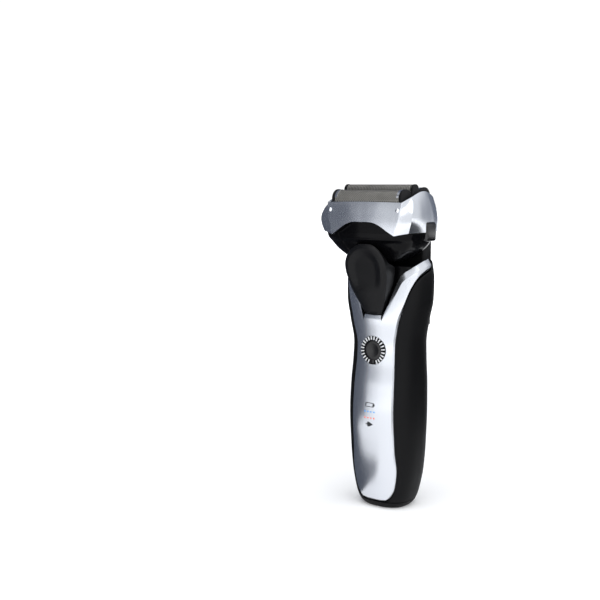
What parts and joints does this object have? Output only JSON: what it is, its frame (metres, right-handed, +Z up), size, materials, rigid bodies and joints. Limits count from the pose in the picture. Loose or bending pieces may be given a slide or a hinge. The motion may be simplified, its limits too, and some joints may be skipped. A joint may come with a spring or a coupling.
{
  "type": "electric shaver",
  "caption": "Upright cordless foil shaver with a swinging silver-framed head, domed thumb rest, ringed power button, rubber grip and flip-out trimmer.",
  "frame": {"origin": "middle of the bottom face, below the middle of the overall box", "axes": "+Z up along the handle, -Y towards the thumb rest and power button, +X to the shaver's left-hand side as its front is faced"},
  "size_m": [0.0546, 0.043, 0.1602],
  "materials": {
    "satin_silver": "satin metallic lacquer over plastic",
    "grip_rubber": "soft-touch, slightly dull",
    "gloss_black": "polished",
    "matte_black": "fine texture",
    "inner_grey": "plain moulded",
    "steel": "ground",
    "foil_steel": "perforated, satin",
    "chrome": "bright plated",
    "cell_wrap": "shrink sleeve over the cell",
    "nickel": "nickel plated",
    "board_green": "lacquered board",
    "clear_guide": "tinted clear",
    "seal_rubber": "matte",
    "copper": "wound copper"
  },
  "bodies": {
    "handle": {"front_panel": "satin_silver", "grip_shell": "grip_rubber", "bottom_cap": "grip_rubber", "inner_case": "inner_grey", "bottom_screw_front": "steel", "bottom_screw_rear": "steel", "battery_cell": "cell_wrap", "battery_tab_bottom": "nickel", "battery_tab_top": "nickel", "circuit_board": "board_green", "charge_lamp_row": "clear_guide", "clean_lamp_row": "clear_guide", "charge_light_guide": "clear_guide", "clean_light_guide": "clear_guide", "tact_switch": "inner_grey", "button_ring": "chrome", "inlet_socket": "gloss_black", "inlet_pin_left": "nickel", "inlet_pin_right": "nickel", "neck": "gloss_black", "pivot_pin": "steel", "neck_gasket": "seal_rubber", "thumb_rest": "matte_black", "trimmer_housing": "gloss_black", "trimmer_hinge_pin": "steel"},
    "head": {"head_base": "gloss_black", "motor_stator": "copper", "release_spring_left": "steel", "release_spring_right": "steel"},
    "outer_drive": {"outer_armature": "steel"},
    "middle_drive": {"middle_armature": "steel"},
    "front_cutter": {"front_blade": "steel"},
    "rear_cutter": {"rear_blade": "steel"},
    "middle_cutter": {"middle_blade": "steel"},
    "foil_head": {"foil_frame": "satin_silver", "foil_cassette": "matte_black", "frame_rivet_1": "chrome", "frame_rivet_2": "chrome"},
    "front_foil_unit": {"front_foil": "foil_steel"},
    "middle_foil_unit": {"middle_foil": "foil_steel"},
    "rear_foil_unit": {"rear_foil": "foil_steel"},
    "release_left": {"release_button_left": "gloss_black"},
    "release_right": {"release_button_right": "gloss_black"},
    "button": {"power_button": "gloss_black"},
    "slide_switch": {"trimmer_slider": "matte_black"},
    "trimmer": {"trimmer_arm": "matte_black", "trimmer_fixed_blade": "steel"},
    "trimmer_cutter": {"trimmer_moving_blade": "steel"}
  },
  "joints": [
    {"name": "head_swing", "type": "hinge", "parent": "handle", "child": "head", "pos_m": [0, 0.0002, 0.129], "axis": [0, 1, 0], "range_deg": [-5, 5], "stiffness_Nm_per_rad": 0.6},
    {"name": "outer_stroke", "type": "slide", "parent": "head", "child": "outer_drive", "axis": [1, 0, 0], "range_m": [-0.0012, 0.0012], "stiffness_N_per_m": 500},
    {"name": "middle_stroke", "type": "slide", "parent": "head", "child": "middle_drive", "axis": [1, 0, 0], "range_m": [-0.0012, 0.0012], "stiffness_N_per_m": 300},
    {"name": "foil_lift", "type": "slide", "parent": "head", "child": "foil_head", "axis": [0, 0, 1], "range_m": [0, 0.025]},
    {"name": "front_foil_float", "type": "slide", "parent": "foil_head", "child": "front_foil_unit", "axis": [0, 0, 1], "range_m": [-0.0012, 0], "stiffness_N_per_m": 300, "springref_m": 0.0008},
    {"name": "front_cutter_float", "type": "slide", "parent": "outer_drive", "child": "front_cutter", "axis": [0, 0, 1], "range_m": [-0.0012, 0]},
    {"name": "middle_foil_float", "type": "slide", "parent": "foil_head", "child": "middle_foil_unit", "axis": [0, 0, 1], "range_m": [-0.0012, 0], "stiffness_N_per_m": 300, "springref_m": 0.0008},
    {"name": "middle_cutter_float", "type": "slide", "parent": "middle_drive", "child": "middle_cutter", "axis": [0, 0, 1], "range_m": [-0.0012, 0]},
    {"name": "rear_foil_float", "type": "slide", "parent": "foil_head", "child": "rear_foil_unit", "axis": [0, 0, 1], "range_m": [-0.0012, 0], "stiffness_N_per_m": 300, "springref_m": 0.0008},
    {"name": "rear_cutter_float", "type": "slide", "parent": "outer_drive", "child": "rear_cutter", "axis": [0, 0, 1], "range_m": [-0.0012, 0]},
    {"name": "release_press_left", "type": "slide", "parent": "head", "child": "release_left", "axis": [1, 0, 0], "range_m": [0, 0.0012], "stiffness_N_per_m": 600},
    {"name": "release_press_right", "type": "slide", "parent": "head", "child": "release_right", "axis": [-1, 0, 0], "range_m": [0, 0.0012], "stiffness_N_per_m": 600},
    {"name": "button_press", "type": "slide", "parent": "handle", "child": "button", "axis": [0, 1, 0], "range_m": [0, 0.0008], "stiffness_N_per_m": 900},
    {"name": "trimmer_slide", "type": "slide", "parent": "handle", "child": "slide_switch", "axis": [0, 0, 1], "range_m": [0, 0.006]},
    {"name": "trimmer_swing", "type": "hinge", "parent": "handle", "child": "trimmer", "pos_m": [0, 0.0186, 0.114], "axis": [-1, 0, 0], "range_deg": [0, 50.5]},
    {"name": "trimmer_stroke", "type": "slide", "parent": "trimmer", "child": "trimmer_cutter", "axis": [1, 0, 0], "range_m": [-0.001, 0.001], "stiffness_N_per_m": 300}
  ],
  "couplings": [
    {"joint": "middle_stroke", "follows": "outer_stroke", "ratio": -1},
    {"joint": "front_cutter_float", "follows": "front_foil_float", "ratio": 1},
    {"joint": "middle_cutter_float", "follows": "middle_foil_float", "ratio": 1},
    {"joint": "rear_cutter_float", "follows": "rear_foil_float", "ratio": 1},
    {"joint": "trimmer_swing", "follows": "trimmer_slide", "rad_per_m": 145.4}
  ]
}
